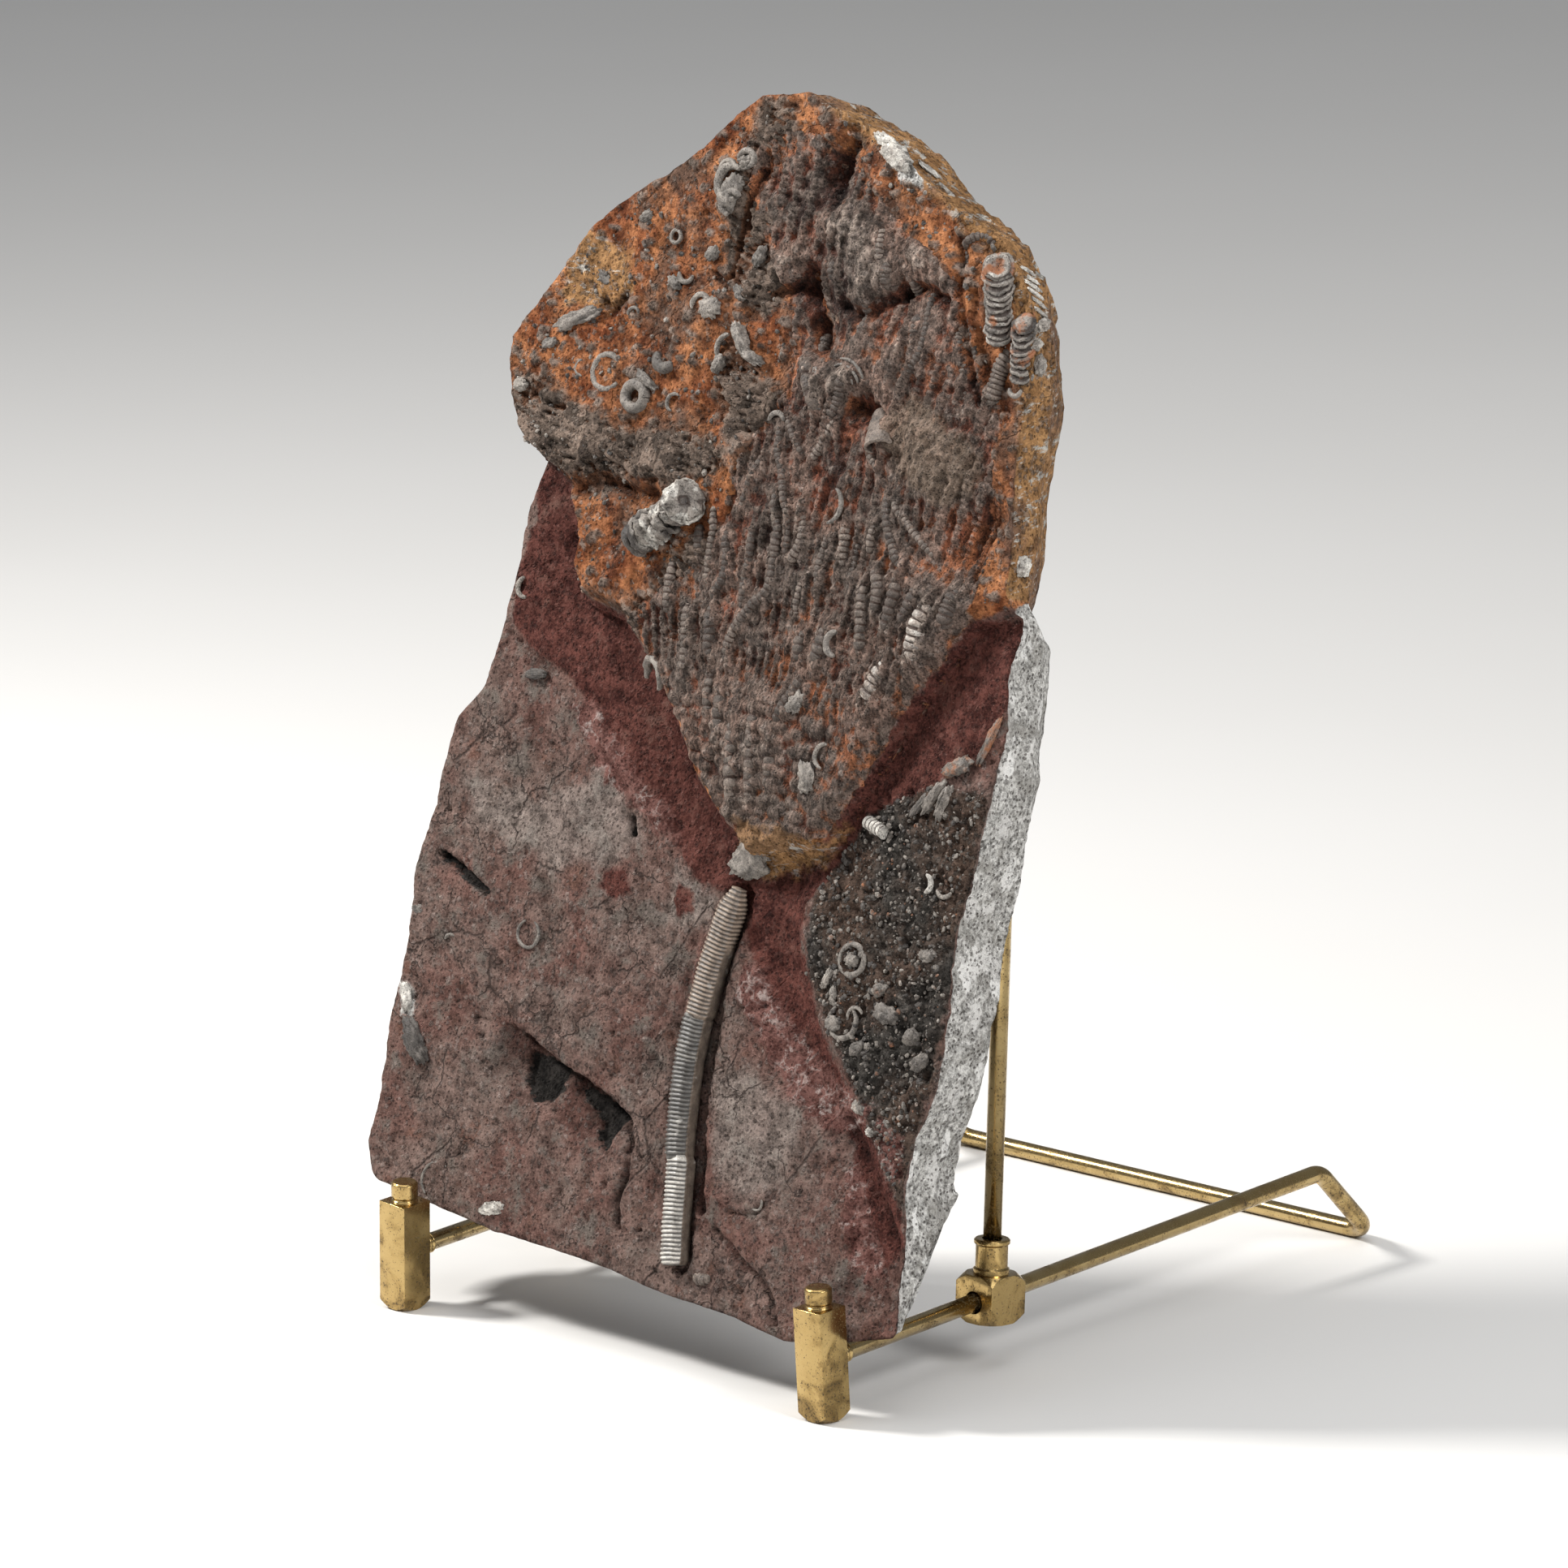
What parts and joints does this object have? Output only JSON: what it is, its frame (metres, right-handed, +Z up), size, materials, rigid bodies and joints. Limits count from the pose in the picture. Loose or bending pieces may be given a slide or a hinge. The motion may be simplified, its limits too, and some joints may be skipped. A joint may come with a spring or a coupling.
{
  "type": "crinoid fossil slab on easel",
  "caption": "Broken slab of reddish limestone with a fossil crinoid's crown and stem standing out of it, leaning on a bent brass rod easel whose back rest slides along the side rods.",
  "frame": {"origin": "on the table, under the middle of the whole object's box", "axes": "+Z up; +Y from the front posts to the rear cross bar; +X from the left post to the right one, seen from the front"},
  "size_m": [0.2034, 0.2212, 0.3254],
  "materials": {
    "limestone": "rough broken rock",
    "crown_calcite": "rough",
    "stem_calcite": "dull polish",
    "aged_brass": "aged polish"
  },
  "bodies": {
    "base": {"matrix_slab": "limestone", "crinoid_crown": "crown_calcite", "crinoid_stem": "stem_calcite", "loose_stem_barrel": "stem_calcite", "loose_stem_stack": "stem_calcite", "base_rod": "aged_brass", "left_post": "aged_brass", "right_post": "aged_brass"},
    "back_rest": {"left_slider": "aged_brass", "right_slider": "aged_brass", "back_rest_bar": "aged_brass"}
  },
  "joints": [
    {"name": "back_rest_slide", "type": "slide", "parent": "base", "child": "back_rest", "axis": [0, 0.9992, 0.0401], "range_m": [0, 0.11]}
  ]
}
